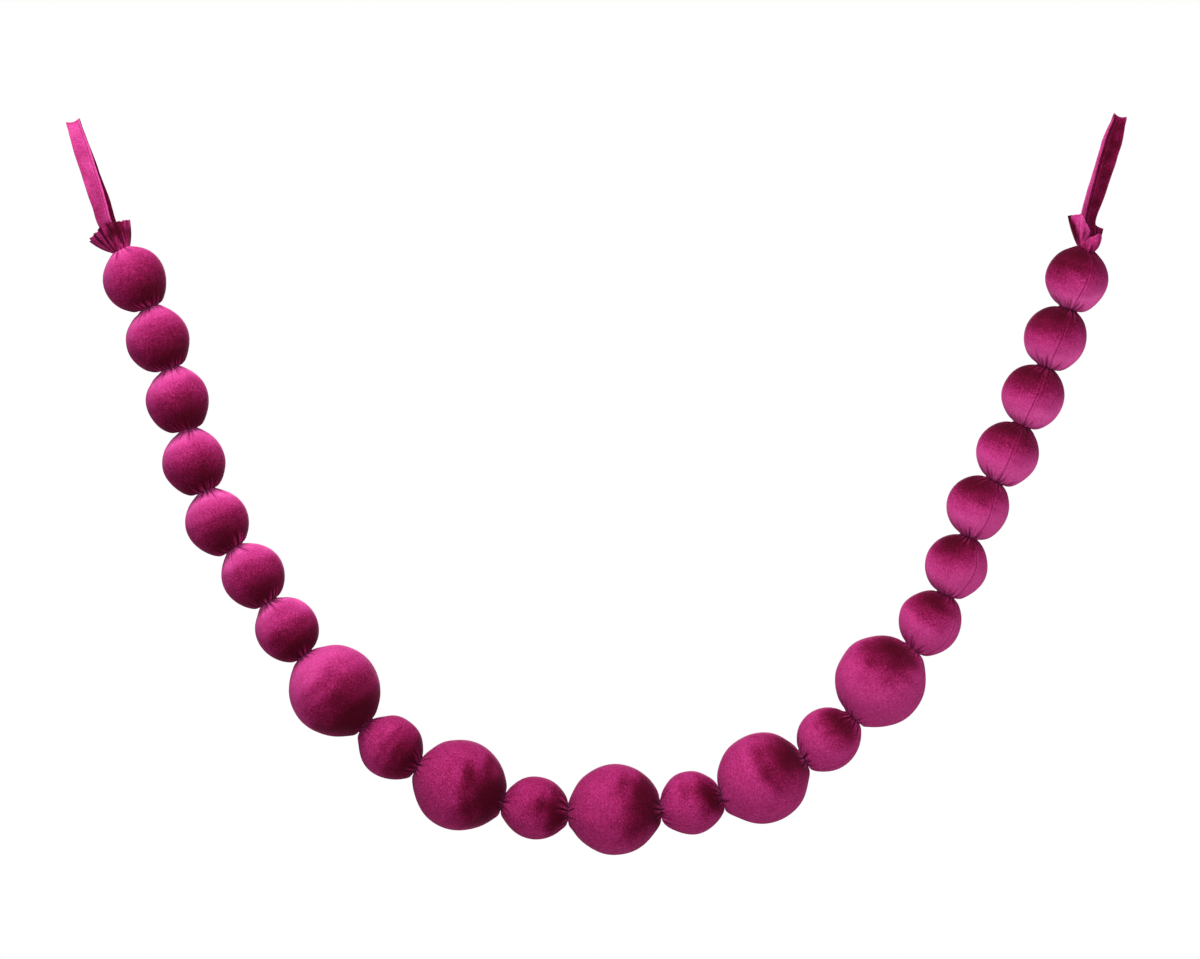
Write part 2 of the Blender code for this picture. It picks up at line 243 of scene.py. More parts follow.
def cloth_profile(radius, back_reach, ahead_reach):
    """Rows along the cloth from pinch to pinch: a straight cone, the ball and a cone, each touching the ball.

    Gives each row's place along the axis, its radius, the way out there and its distances from the pinches.
    """
    def cone(reach):
        far = math.hypot(reach, PINCH_RADIUS)
        return math.atan2(PINCH_RADIUS, reach) + math.acos(radius / far), math.sqrt(far**2 - radius**2)

    start_angle, start_length = cone(back_reach)
    end_angle, end_length = cone(ahead_reach)
    arc = (math.pi - start_angle - end_angle) * radius
    total = start_length + arc + end_length
    middle = max(total - 2 * GATHER_ZONE, 0.0)
    dense = np.linspace(0, GATHER_ZONE, round(GATHER_ZONE / GATHER_ROW_STEP) + 1)
    open_rows = GATHER_ZONE + np.linspace(0, middle, round(middle / ROW_STEP) + 1)[1:-1]
    run = np.concatenate([dense, open_rows, total - dense[::-1]])
    angle = start_angle + (np.clip(run, start_length, start_length + arc) - start_length) / radius
    before = np.clip(start_length - run, 0, None)
    after = np.clip(run - start_length - arc, 0, None)
    along = -radius * np.cos(angle) - before * np.sin(start_angle) + after * np.sin(end_angle)
    across = radius * np.sin(angle) - before * np.cos(start_angle) - after * np.cos(end_angle)
    way_out = np.column_stack([-np.cos(angle), np.sin(angle)])
    return along, across, way_out, run, total - run


def soft_waves(points, scale, seed, count=14):
    """A smooth random field over points: the sum of sine waves with seeded directions and lengths near scale.

    Its spread is about 1.
    """
    chance = np.random.default_rng(seed)
    way = chance.normal(size=(count, 3))
    way /= np.linalg.norm(way, axis=1)[:, None]
    pace = math.tau / (scale * chance.uniform(0.7, 1.6, count))
    phase = chance.uniform(0, math.tau, count)
    return np.sin(points @ (way * pace[:, None]).T + phase).sum(-1) * math.sqrt(2.0 / count)


def add_surface(name, points, ends):
    """A mesh from a grid of points that closes round its columns, with a shallow cone to each of two ends."""
    rows, columns, _ = points.shape
    index = np.arange(rows * columns).reshape(rows, columns)
    beside = np.roll(index, -1, axis=1)
    quads = np.stack([index[:-1], beside[:-1], beside[1:], index[1:]], axis=-1).reshape(-1, 4)
    first = np.column_stack([beside[0], index[0], np.full(columns, rows * columns)])
    last = np.column_stack([index[-1], beside[-1], np.full(columns, rows * columns + 1)])
    caps = np.vstack([first, last])
    corners = np.append(quads.ravel(), caps.ravel())
    starts = np.append(np.arange(len(quads)) * 4, quads.size + np.arange(len(caps)) * 3)
    vertices = np.vstack([points.reshape(-1, 3), ends])
    mesh = bpy.data.meshes.new(name)
    mesh.vertices.add(len(vertices))
    mesh.vertices.foreach_set("co", vertices.astype(np.float32).ravel())
    mesh.loops.add(len(corners))
    mesh.loops.foreach_set("vertex_index", corners.astype(np.int32))
    mesh.polygons.add(len(starts))
    mesh.polygons.foreach_set("loop_start", starts.astype(np.int32))
    mesh.update(calc_edges=True)
    mesh.validate()
    mesh.shade_smooth()
    piece = bpy.data.objects.new(name, mesh)
    bpy.context.scene.collection.objects.link(piece)
    return piece


def set_value(piece, name, values, at_ends):
    """A number on each vertex, for the material to read. The two vertices past the grid get at_ends."""
    attribute = piece.data.attributes.new(name, "FLOAT", "POINT")
    full = np.full(len(piece.data.vertices), at_ends, np.float32)
    full[: values.size] = values.ravel()
    attribute.data.foreach_set("value", full)


def set_pucker_lines(piece, turn, strength):
    """The way round the tube as a point on a circle, and how strong the fine puckers' lines are there."""
    circle = np.zeros((len(piece.data.vertices), 3), np.float32)
    circle[: turn.size] = np.stack([np.cos(turn), np.sin(turn), 0 * turn], -1).reshape(-1, 3)
    piece.data.attributes.new("round", "FLOAT_VECTOR", "POINT").data.foreach_set("vector", circle.ravel())
    set_value(piece, "gather", strength, 0.0)


class Shade:
    """A value in a material's nodes, on which Python's operators work as on a number."""

    def __init__(self, nodes, socket):
        self.nodes = nodes
        self.socket = socket

    def node(self, kind, settings=None, output=0, **sockets):
        """Any other node: its settings, then its sockets' values or links, by name or as n and place."""
        made = self.nodes.new(kind)
        for key, value in (settings or {}).items():
            setattr(made, key, value)
        for key, value in sockets.items():
            place = int(key[1:]) if key[0] == "n" and key[1:].isdigit() else key.replace("_", " ")
            if isinstance(value, Shade):
                self.nodes.id_data.links.new(value.socket, made.inputs[place])
            else:
                made.inputs[place].default_value = value
        return Shade(self.nodes, made.outputs[output])

    def maths(self, operation, first, second=0.0, clamp=False):
        """A Math node on one or two values."""
        return self.node("ShaderNodeMath", {"operation": operation, "use_clamp": clamp}, n0=first, n1=second)

    def __add__(self, other):
        return self.maths("ADD", self, other)

    def __sub__(self, other):
        return self.maths("SUBTRACT", self, other)

    def __rsub__(self, other):
        return self.maths("SUBTRACT", other, self)

    def __mul__(self, other):
        return self.maths("MULTIPLY", self, other)

    def __abs__(self):
        return self.maths("ABSOLUTE", self)

    __radd__ = __add__
    __rmul__ = __mul__

    def clamped(self):
        """The value held between 0 and 1."""
        return self.maths("ADD", self, 0.0, clamp=True)

    def between(self, first, second):
        """The colour that lies between two others by this share."""
        settings = {"data_type": "RGBA", "blend_type": "MIX"}
        return self.node("ShaderNodeMix", settings, output=2, n0=self, n6=first, n7=second)

    def ramp(self, stops):
        """A colour for the value, from stops of place and colour."""
        made = self.nodes.new("ShaderNodeValToRGB")
        made.color_ramp.interpolation = "LINEAR"
        while len(made.color_ramp.elements) < len(stops):
            made.color_ramp.elements.new(0.5)
        for element, (place, colour) in zip(made.color_ramp.elements, stops):
            element.position = place
            element.color = (*colour, 1.0)
        self.nodes.id_data.links.new(self.socket, made.inputs[0])
        return Shade(self.nodes, made.outputs[0])


# The velvet's colour from painted shade, where one looks into the pile's depth, to painted sheen, where its
# fibres lie flat and catch the light.
PAINTED_SHADE_TO_SHEEN = (
    (0.05, (0.031, 0.0007, 0.0046)),
    (0.18, (0.062, 0.0014, 0.0128)),
    (0.31, (0.099, 0.0031, 0.0262)),
    (0.43, (0.143, 0.0060, 0.0450)),
    (0.56, (0.197, 0.0112, 0.0705)),
    (0.68, (0.250, 0.0180, 0.1000)),
    (0.82, (0.315, 0.0295, 0.1380)),
    (0.93, (0.430, 0.0540, 0.2050)),
    (1.00, (0.530, 0.0820, 0.2700)),
)
WRONG_SIDE = (0.075, 0.004, 0.026, 1.0)
# Painted shade, mixed in where creases, grooves, pinches and the depth of a cup are in shade.
CREASE_SHADE_COLOUR = (0.028, 0.0006, 0.0045, 1.0)
SHEEN_TINT = (0.52, 0.13, 0.34, 1.0)


def velvet(name):
    """Cut velvet, from the attributes lay, crease, inside, round and gather.

    Its colour runs from painted shade to painted sheen along the velvet's ramp with the first of these. Noise
    of three sizes moves that as ruffled pile does, most where the pile is neither deep nor pale. Fine lines
    of painted shade run out of the gathers, where a noise round the tube passes through its middle value.
    Creases are darker with painted shade, and the wrong side is a plain dull knit.
    """
    material = bpy.data.materials.new(name)
    material.use_nodes = True
    nodes = material.node_tree.nodes
    links = material.node_tree.links
    shader = nodes["Principled BSDF"]
    start = Shade(nodes, None)

    def attribute(label, output="Fac"):
        return start.node("ShaderNodeAttribute", {"attribute_name": label}, output)

    def noise(vector, scale, detail, rough):
        """Noise about 0. Along a place in metres its patches are about 1 / scale metres wide."""
        made = start.node("ShaderNodeTexNoise", Vector=vector, Scale=scale, Detail=detail, Roughness=rough)
        return made - 0.5

    place = start.node("ShaderNodeTexCoord", output="Object")
    # The pile's painted sheen and shade, the painted shade of creases and pinches, and where the wrong side
    # shows.
    painted_sheen, crease, inside = attribute("painted_sheen"), attribute("crease"), attribute("inside")
    clouds = noise(place, scale=75.0, detail=3.0, rough=0.6)
    ruffles = noise(place, scale=460.0, detail=3.0, rough=0.75)
    tufts = noise(place, scale=850.0, detail=2.0, rough=0.7)
    pucker = noise(attribute("round", "Vector"), scale=5.5, detail=2.0, rough=0.6)
    # The puckers' fine lines: painted shade in the colour, and a shallow bump.
    line = (1.0 - 13.0 * abs(pucker)).clamped() * attribute("gather")
    held = painted_sheen.clamped()
    halfway = held * (1.0 - held)
    moved = (0.16 * clouds + 0.58 * ruffles + 0.90 * tufts) * (2.4 * halfway + 0.42)
    # Pale pile is painted sheen and deep pile painted shade, stirred by the noise; the puckers' lines paint
    # shade into it.
    pale = (0.80 * painted_sheen + 0.04 + moved - 0.45 * line).clamped()
    # How much painted shade the creases and the puckers' lines mix in.
    creased = (0.60 * crease + 0.10 * line).clamped()
    colour = inside.between(creased.between(pale.ramp(PAINTED_SHADE_TO_SHEEN), CREASE_SHADE_COLOUR), WRONG_SIDE)
    height = 0.00010 * tufts + 0.00022 * ruffles - 0.00030 * line
    relief = start.node("ShaderNodeBump", Strength=0.6, Distance=1.0, Height=height)
    links.new(colour.socket, shader.inputs["Base Color"])
    links.new(relief.socket, shader.inputs["Normal"])
    shader.inputs["Roughness"].default_value = 0.85
    shader.inputs["Specular IOR Level"].default_value = 0.02
    shader.inputs["Sheen Weight"].default_value = 0.15
    shader.inputs["Sheen Roughness"].default_value = 0.38
    shader.inputs["Sheen Tint"].default_value = SHEEN_TINT
    return material


tube_velvet = velvet("tube_velvet")

# Where the painted shade of the pile is deepest on each ball, as where one looks deepest into it: the number
# of the ball; how far that place is turned off the line of the tube, in degrees anticlockwise seen from the
# front; how far it is from the middle of the front (and of the back) towards the tube's end. Then how many
# degrees away from it the painted sheen begins to rise and stops doing so, by what power it does, and how
# pale it is in the end.
PAINTED_SHADE_PLACES = (
    (0, 23, 56, -8, 134, 1.8, 1.34),
    (2, 12, 58, 0, 117, 2.0, 1.28),
    (4, 6, 54, 0, 117, 1.8, 1.32),
    (6, 2, 52, 12, 122, 1.5, 1.36),
    (8, 0, 51, 4, 70, 1.8, 0.60),
    (10, 2, 48, -6, 53, 2.2, 0.56),
    (13, 17, 48, -10, 50, 2.3, 0.68),
    (15, 19, 49, -10, 53, 2.3, 0.77),
    (17, 22, 57, -2, 73, 2.0, 0.96),
    (19, 17, 66, 0, 86, 2.3, 1.04),
    (22, 20, 72, 8, 104, 2.4, 1.14),
)
PALEST_PAINTED_SHEEN = 1.10
LEVELLING_OUT = 0.75  # the share of the way from deep to pale after which the pile pales more slowly
PAST_PALE = 1.25  # the share at which it pales no more

# Clouds, and bands across the tube, stir the edge of the deep place. The clouds' length; how a band is
# stretched, and its length as a share of the ball's radius; by what angle they stir it, in radians, and how
# much more they do round the middle ball.
CLOUD_LENGTH, CLOUD_SEED = 0.024, 170
BAND_STRETCH, BAND_SHARE, BAND_SEED = np.array([1.0, 0.22, 0.22]), 1 / 3, 270
STIR, STIR_MORE = 0.03, 0.05
MIDDLE_BALL, MIDDLE_SPREAD = 10, 4

# How strongly the painted shade of the gathers at a ball's first pinch shows in the pile, and that of those
# at its second with their painted highlights: for the second, the number of the ball, then that share.
FIRST_GATHERS = 0.85
SECOND_GATHERS = ((12, 1.0), (18, 0.5))
MOST_CREASED = 1.2

# The painted shade that the creases take off the pile's painted sheen, and the painted highlights that the
# seam's lips and its tuck add to it. The seam's groove adds the first of its two numbers as painted sheen,
# and takes the second times the painted sheen off again as painted shade.
CREASE_SHADE_AMOUNT, LIP_HIGHLIGHT, TUCK_HIGHLIGHT = 0.65, 0.10, 0.25
GROOVE_SHEEN, GROOVE_SHADE_AMOUNT = 0.14, 0.40
# How much painted crease shade the seam's groove gets, where the pile is pale.
GROOVE_SHADE_MIX = 0.30  # how much the seam's groove counts as a crease, where the pile is pale

# Where the cloth stands up beside the creases, at the first pinch and at the second: how strong its painted
# highlight is, and the most that counts.
STANDS_HIGHLIGHT, STANDS_MOST = (0.5, 1.5), (0.9, 0.5)

# The fine puckers' lines, painted as shade in the colour and sunk in the bump: how far they run from a pinch,
# how strong they are, by how much that changes round the tube, and how often.
PUCKER_REACH, PUCKER_STRENGTH, PUCKER_CHANGE, PUCKER_CHANGES = 0.013, 0.6, 0.4, 7


def seam_turn(number, share):
    """Where the seam runs at each share of the way along a ball, in degrees.

    It goes evenly between the means with the two neighbours' turns, plus a parabola that brings the middle to
    the ball's own turn.
    """
    here = SEAM_TURNS[number]
    first = (here + SEAM_TURNS[max(number - 1, 0)]) / 2
    last = (here + SEAM_TURNS[min(number + 1, len(BALLS) - 1)]) / 2
    return np.interp(share, (0, 1), (first, last)) + 4 * share * (1 - share) * (here - (first + last) / 2)


def slack_of(number, from_back, from_ahead, share, outer_way):
    """How far the cloth stands off a ball.

    It is a swelling near each pinch, between its outer and its inner size by the way round, and the sag on
    the outer side.
    """
    stand_offs = table_row(STAND_OFFS, number) / 1000
    slack = np.zeros_like(outer_way)
    for from_pinch, (outer, inner) in ((from_back, stand_offs[:2]), (from_ahead, stand_offs[2:])):
        swell = (from_pinch / STAND_OFF_REACH * np.exp(1 - from_pinch / STAND_OFF_REACH)) ** 1.5
        slack += swell[:, None] * (inner + (outer - inner) * (1 + outer_way) / 2)
    return slack + SAG * np.sin(math.pi * share)[:, None] * np.clip(outer_way, 0, 1)


def ball_cloth(number):
    """The cloth over one ball: its points, and what the finish of the pile is worked out from.

    The profile is turned about the line between the pinches, moved off that line near each pinch, and swollen
    where the cloth is slack, but never into the ball. Creases and the seam then move it in. Each row is at
    last turned about Y towards its own pinch, by a share of the bend that grows smoothly from one pinch to
    the other, so that the ball stays round.
    """
    centre, radius = centres[number], radii[number]
    back, ahead = centre - pinches[number], pinches[number + 1] - centre
    along, across, way_out, from_back, from_ahead = cloth_profile(
        radius, np.linalg.norm(back), np.linalg.norm(ahead)
    )
    share = from_back / (from_back + from_ahead)
    columns = seam_columns(radius)
    turn = np.radians(seam_turn(number, share))[:, None] + columns
    across_grid = np.broadcast_to(across[:, None], turn.shape)
    from_seam = np.abs((columns + math.pi) % math.tau - math.pi) * across_grid

    # Turn 0 faces the viewer, at -Y, and a quarter turn is the outer side of the curve.
    outer_way, front_way = np.sin(turn), np.cos(turn)
    slack = slack_of(number, from_back, from_ahead, share, outer_way)
    shift_back, shift_ahead = (table_row(PINCH_SHIFTS, pinch)[0] / 1000 for pinch in (number, number + 1))
    shift = bell(from_back, SHIFT_REACH) * shift_back + bell(from_ahead, SHIFT_REACH) * shift_ahead
    stand = across[:, None] + way_out[:, 1:] * slack
    shape = np.stack(
        [along[:, None] + way_out[:, :1] * slack, stand * outer_way + shift[:, None], stand * front_way], -1
    )
    shape *= np.maximum(1, radius / np.linalg.norm(shape, axis=-1))[..., None]

    sink_back, crease_back, stands_back = gathered(
        gathers(number), "after", turn, from_back[:, None], across_grid
    )
    sink_ahead, crease_ahead, stands_ahead = gathered(
        gathers(number + 1), "before", turn, from_ahead[:, None], across_grid
    )
    groove = bell(from_seam, GROOVE_WIDTH)
    lip = bell(from_seam - LIP_PLACE, LIP_WIDTH)
    tuck = bell(from_seam - TUCK_PLACE, TUCK_WIDTH) * bell(from_back, TUCK_REACH)[:, None]
    sink = sink_back + sink_ahead + GROOVE_DEPTH * groove - LIP_HEIGHT * lip - TUCK_HEIGHT * tuck
    off_pinches = 1 - bell(from_back, LUMP_FADE) - bell(from_ahead, LUMP_FADE)
    even = np.stack([along[:, None] + 0 * turn, stand * outer_way, stand * front_way], -1)
    out = LUMP_HEIGHT * soft_waves(even, LUMP_LENGTH, LUMP_SEED + number) * off_pinches[:, None] - sink

    # Beside a pinch the cloth moves straight towards the axis, so that it stays in the plane of the pinch.
    square = 1 - bell(np.minimum(from_back, from_ahead), SQUARE_REACH)
    lengthwise = np.broadcast_to((way_out[:, 0] * square)[:, None], turn.shape)
    sideways = (way_out[:, 1] * square + 1 - square)[:, None]
    shape += out[..., None] * np.stack([lengthwise, sideways * outer_way, sideways * front_way], -1)

    dip_back, dip_ahead = math.atan2(-back[2], back[0]), math.atan2(-ahead[2], ahead[0])
    smooth = share * share * (3 - 2 * share)
    dip = (dip_back + dip_ahead) / 2 + (dip_ahead - dip_back) * (smooth - 0.5)
    cos_dip, sin_dip = np.cos(dip)[:, None], np.sin(dip)[:, None]
    x, outer, front = shape[..., 0], shape[..., 1], shape[..., 2]
    points = np.stack([
        centre[0] + x * cos_dip - outer * sin_dip,
        centre[1] - front,
        centre[2] - x * sin_dip - outer * cos_dip,
    ], axis=-1)
    first_end = points[0].mean(0) + unit(back) * PINCH_DIMPLE
    last_end = points[-1].mean(0) - unit(ahead) * PINCH_DIMPLE
    return SimpleNamespace(
        points=points,
        ends=np.array([first_end, last_end]),
        shape=shape,
        turn=turn,
        way=unit(unit(back) + unit(ahead)),
        from_pinch=np.minimum(from_back, from_ahead)[:, None],
        crease_back=crease_back,
        crease_ahead=crease_ahead,
        stands_back=stands_back,
        stands_ahead=stands_ahead,
        groove=groove,
        lip=lip,
        tuck=tuck,
    )


def painted_sheen_over_ball(number, cloth):
    """How pale the pile looks over a ball, as painted sheen and shade, from 0 for deep.

    It is the palest value times q^power, for q = the share of the way from where the pile begins to pale to
    where it stops, by the angle from the nearest deep place. q loses the square of what it has over
    LEVELLING_OUT, so that it levels out gently. Soft waves move that angle, most round the middle balls.
    """
    turned, forward, begins, stops, power, palest = table_row(PAINTED_SHADE_PLACES, number)
    turned, forward, begins, stops = np.radians([turned, forward, begins, stops])
    beside_way = np.array([-cloth.way[2], 0.0, cloth.way[0]])
    deep_way = cloth.way * math.cos(turned) + beside_way * math.sin(turned)
    outwards = cloth.points - centres[number]
    outwards /= np.linalg.norm(outwards, axis=-1)[..., None]
    nearness = outwards @ deep_way * math.sin(forward) + np.abs(outwards[..., 1]) * math.cos(forward)
    from_deep = np.arccos(np.clip(nearness, -1, 1))
    clouds = soft_waves(cloth.points, CLOUD_LENGTH, CLOUD_SEED + number)
    bands = soft_waves(cloth.shape * BAND_STRETCH, radii[number] * BAND_SHARE, BAND_SEED + number)
    from_deep -= (STIR + STIR_MORE * bell(number - MIDDLE_BALL, MIDDLE_SPREAD)) * (clouds + bands)
    q = np.clip((from_deep - begins) / (stops - begins), 0, PAST_PALE)
    return palest * (q - np.clip(q - LEVELLING_OUT, 0, None) ** 2) ** power


def make_ball(number):
    """One stretch of the tube over its ball, with its finish.

    The pile gets painted shade in the creases and, where it is pale, in the seam's groove, and painted
    highlights on the seam's lips, on its tuck and where the cloth stands up between the creases. Where the
    pile is deep the seam's groove gets a painted sheen.
    """
    node, cloth = BALLS[number], ball_cloth(number)
    second = table_row(SECOND_GATHERS, number)[0]
    # Painted shade in the gathers at both pinches.
    crease = np.clip(FIRST_GATHERS * cloth.crease_back + second * cloth.crease_ahead, 0, MOST_CREASED)
    # The pile's painted sheen and shade over the ball, less the painted shade of its creases.
    painted_sheen = painted_sheen_over_ball(number, cloth) - CREASE_SHADE_AMOUNT * crease
    # The seam's groove: painted sheen where the pile is deep, painted shade where it is pale; painted
    # highlights on the lips and the tuck.
    in_groove = (GROOVE_SHEEN - GROOVE_SHADE_AMOUNT * np.clip(painted_sheen, 0, 1)) * cloth.groove
    painted_sheen += LIP_HIGHLIGHT * cloth.lip * (1 - painted_sheen) + in_groove + TUCK_HIGHLIGHT * cloth.tuck
    # Painted highlights where the cloth stands up between the creases.
    stands_back = STANDS_HIGHLIGHT[0] * np.clip(cloth.stands_back, 0, STANDS_MOST[0])
    stands_ahead = STANDS_HIGHLIGHT[1] * second * np.clip(cloth.stands_ahead, 0, STANDS_MOST[1])
    painted_sheen += (stands_back + stands_ahead) * np.clip(1 - painted_sheen, 0, 1)
    strength = PUCKER_STRENGTH + PUCKER_CHANGE * np.sin(PUCKER_CHANGES * cloth.turn + number)
    pucker_lines = bell(cloth.from_pinch, PUCKER_REACH) * strength

    piece = add_surface("velvet_" + node, cloth.points, cloth.ends)
    set_value(piece, "painted_sheen", np.minimum(painted_sheen, PALEST_PAINTED_SHEEN), 0.0)
    set_pucker_lines(piece, cloth.turn, pucker_lines)
    # Painted shade for the creases, the seam's groove and the pinches' ends.
    set_value(piece, "crease", crease + GROOVE_SHADE_MIX * cloth.groove * painted_sheen, 1.0)
    set_value(piece, "inside", np.zeros_like(painted_sheen), 0.0)
    piece.data.materials.append(tube_velvet)
    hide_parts(node)
    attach(piece, "root")


for number in range(len(BALLS)):
    make_ball(number)

# ------------------------------------------------------------------------------------------------------------
# The two frills. Beyond the first and the last pinch the tube is cut off raw, and its end flares out of the
# gathers into a short cup of knife folds. It is one layer of velvet, whose wrong side shows inside the cup.
# ------------------------------------------------------------------------------------------------------------

# The folds round each rim, from the front towards the right: where the fold leaves the pinch and how much
# further round its tip is, in degrees; how it leaves the pinch and how its tip leans, in degrees from the
# frill's axis; its reach in millimetres, and the share of that over which it keeps its first direction.
# Then the groove before the next fold: its depth in millimetres, and its place and half width as shares of
# the way there. Last, how pale the pile looks on the fold, as painted sheen.
LEFT_FOLDS = (
    (0, 0, 20, 8, 29.0, 0.45, 3.4, 0.50, 0.22, 0.61),
    (30, 0, 24, 10, 27.5, 0.45, 3.0, 0.55, 0.25, 0.67),
    (60, 0, 32, 16, 27.0, 0.45, 3.6, 0.50, 0.25, 0.67),
    (92, 0, 42, 23, 27.0, 0.45, 4.0, 0.45, 0.25, 0.63),
    (130, 0, 34, 20, 28.0, 0.45, 5.0, 0.50, 0.28, 0.63),
    (170, 0, 26, 14, 29.0, 0.45, 4.6, 0.50, 0.28, 0.63),
    (210, 0, 34, 20, 28.0, 0.45, 5.0, 0.50, 0.25, 0.63),
    (240, 0, 50, 34, 27.0, 0.45, 4.4, 0.50, 0.30, 0.63),
    (264, 0, 64, 44, 25.5, 0.45, 4.8, 0.45, 0.25, 0.69),
    (286, 0, 56, 40, 27.5, 0.45, 3.4, 0.50, 0.30, 0.73),
    (306, 0, 46, 30, 27.5, 0.45, 4.2, 0.50, 0.25, 0.71),
    (330, 0, 36, 22, 30.5, 0.45, 3.8, 0.50, 0.25, 0.63),
)
RIGHT_FOLDS = (
    (5, 7, 130, 22, 12.9, 1.15, 0.2, 0.50, 0.30, 0.72),
    (30, 8, 125, 22, 18.6, 0.75, 0.2, 0.50, 0.30, 0.72),
    (50, 10, 90, 23, 16.9, 0.50, 2.5, 0.60, 0.30, 1.10),
    (75, 3, 80, 19, 9.5, 0.50, 3.0, 0.50, 0.30, 0.60),
    (108, -3, 60, 16, 18.8, 0.45, 2.0, 0.50, 0.30, 0.25),
    (130, -15, 50, 15, 25.5, 0.45, 2.0, 0.50, 0.30, 0.25),
    (160, 5, 36, 9, 27.2, 0.45, 3.0, 0.50, 0.25, 0.30),
    (188, 0, 30, 5, 21.6, 0.45, 4.0, 0.50, 0.25, 0.40),
    (218, 0, 36, 12, 27.6, 0.45, 4.0, 0.50, 0.25, 0.45),
    (242, 0, 42, 23, 28.0, 0.45, 2.5, 0.50, 0.30, 0.40),
    (262, 0, 46, 34, 29.5, 0.45, 8.5, 0.54, 0.34, 0.35),
    (288, 2, 42, 32, 29.5, 0.45, 0.5, 0.50, 0.45, 1.00),
    (306, 2, 38, 23, 31.0, 0.45, 0.5, 0.50, 0.45, 0.96),
    (318, 4, 36, 21, 31.2, 0.45, 0.3, 0.50, 0.45, 1.00),
    (325, 12, 35, 16, 23.5, 0.45, 0.2, 0.50, 0.45, 1.00),
    (331, 27, 34, 12, 18.0, 0.45, 0.4, 0.50, 0.45, 0.95),
    (336, 26, 34, 7, 10.7, 0.45, 0.4, 0.50, 0.45, 0.60),
    (341, -5, 125, 29, 4.6, 1.60, 0.5, 0.50, 0.30, 0.70),
)
FRILL_CLOTH = 0.0011
FRILL_ROWS = 46
FRILL_FLOOR_SHARE = 0.14  # the share of the way out at which the inside closes over the gathers
RAGGED_EDGE = 0.014  # the spread of the cut edge's unevenness, as a share of the reach
TOOTH_COLUMNS = 3  # the mesh columns to one tooth of the cut edge
EDGE_STEP = 0.4  # how far the cut edge rounds out past the last row, as a share of the step between rows
FOLD_LEAN = 0.10  # how far a fold leans over its groove, in radians
CREASE_PACE = 0.55  # how fast the pinch's creases fade along a frill, against how fast on a ball
SQUARE_SHARE = 0.12  # the share of the way out from which folds and creases go in square to the cloth
FRILL_DIMPLE = 0.001  # how far the floor of the cup sinks in

# The small tucks in a frill: how many, their width, and the least and the most of their depth in
# millimetres and of the shares of the way out at which they start and end. Then over which shares of it they
# grow at the start and fade at the end.
SMALL_TUCKS, SMALL_TUCK_WIDTH = 40, 0.0007
SMALL_TUCK_DEPTHS, SMALL_TUCK_STARTS, SMALL_TUCK_STOPS = (0.15, 0.6), (0.0, 0.35), (0.5, 1.1)
SMALL_TUCK_GROWS, SMALL_TUCK_FADES = 0.15, 0.3

# How deep a groove and a small tuck are that count in full, how much painted shade that takes off the
# pile's painted sheen, and how much painted crease shade it gets.
FULL_FOLD_GROOVE, FULL_SMALL_TUCK = 0.004, 0.0005
FOLD_SHADE_AMOUNT, FOLD_SHADE_MIX = 0.35, 0.75

# How much paler the cut edge is, a painted highlight on its rolled rim, and how much of the wrong side shows
# on it and inside the cup. Then how strong and how long the clouds in the painted sheen of the pile are.
EDGE_HIGHLIGHT, EDGE_WRONG_SIDE, CUP_WRONG_SIDE = 0.15, 0.09, 0.9
FRILL_CLOUDS, FRILL_CLOUD_LENGTH = 0.07, 0.012


def round_rim(folds, columns):
    """The rows of folds eased into each other round the rim, with the grooves' depth and the paleness, a
    painted sheen.
    """
    table = np.array(folds)
    after = np.roll(table, -1, axis=0)
    step = (np.arange(columns) / columns)[None]
    ease = (step * step * (3 - 2 * step))[..., None]
    place = table[:, :1] + (after[:, :1] - table[:, :1]) % 360 * step
    eased = table[:, None, 1:] + (after - table)[:, None, 1:] * ease
    twist, opens, lean, reach, early, *_, pale = eased.reshape(-1, table.shape[1] - 1).T
    groove = table[:, 6:7] / 1000 * np.exp(-np.abs((step - table[:, 7:8]) / table[:, 8:9]) ** 1.5)
    return np.radians([place.ravel(), twist, opens, lean]), reach / 1000, early, groove.ravel(), pale


def small_tucks(chance, place, share, out):
    """How far fine tucks push a frill's cloth in: a soft V each, over its own stretch of the way out."""
    turn = chance.uniform(0, math.tau, SMALL_TUCKS)
    depth = chance.uniform(*SMALL_TUCK_DEPTHS, SMALL_TUCKS) / 1000
    start = chance.uniform(*SMALL_TUCK_STARTS, SMALL_TUCKS)
    stop = chance.uniform(*SMALL_TUCK_STOPS, SMALL_TUCKS)
    away = (place[None, :, None] - turn + math.pi) % math.tau - math.pi
    away = np.abs(away) * out[..., None] / SMALL_TUCK_WIDTH
    grown = np.clip((share[..., None] - start) / SMALL_TUCK_GROWS, 0, 1)
    left = np.clip((stop - share[..., None]) / SMALL_TUCK_FADES, 0, 1)
    return (depth * np.exp(-(away**1.5)) * (grown * left)).sum(-1)


